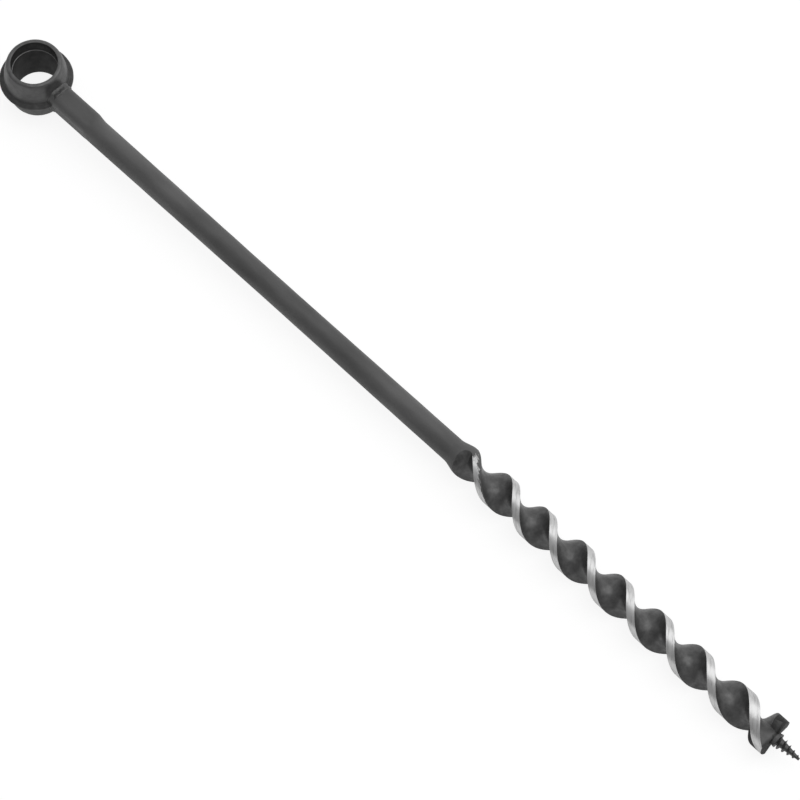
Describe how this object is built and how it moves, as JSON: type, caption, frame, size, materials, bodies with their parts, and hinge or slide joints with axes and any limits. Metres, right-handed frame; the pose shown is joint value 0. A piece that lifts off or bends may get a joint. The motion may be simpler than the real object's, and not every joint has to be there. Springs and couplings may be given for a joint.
{
  "type": "auger",
  "caption": "Long ring auger for boring timber: a forged eye for a cross handle, a plain shank, a double twist with ground lands, a two-winged cutting head and a lead screw.",
  "frame": {"origin": "on the axis of the eye's bore, half way up the eye", "axes": "+X along the tool from the eye to the screw point, +Z along the eye's bore towards its recessed end"},
  "size_m": [0.6062, 0.0422, 0.033],
  "materials": {
    "eye_steel": "drop-forged steel with dark oxide scale, satin",
    "weld_metal": "as-welded bead under the same dark oxide",
    "shank_steel": "blackened bar steel, satin",
    "twist_steel": "blackened flutes with bright ground lands",
    "head_steel": "blackened and filed steel",
    "screw_steel": "blackened cut thread"
  },
  "bodies": {
    "root": {"eye": "eye_steel", "eye_weld": "weld_metal", "shank": "shank_steel", "twist": "twist_steel", "cutting_head": "head_steel", "lead_screw": "screw_steel"}
  },
  "joints": []
}
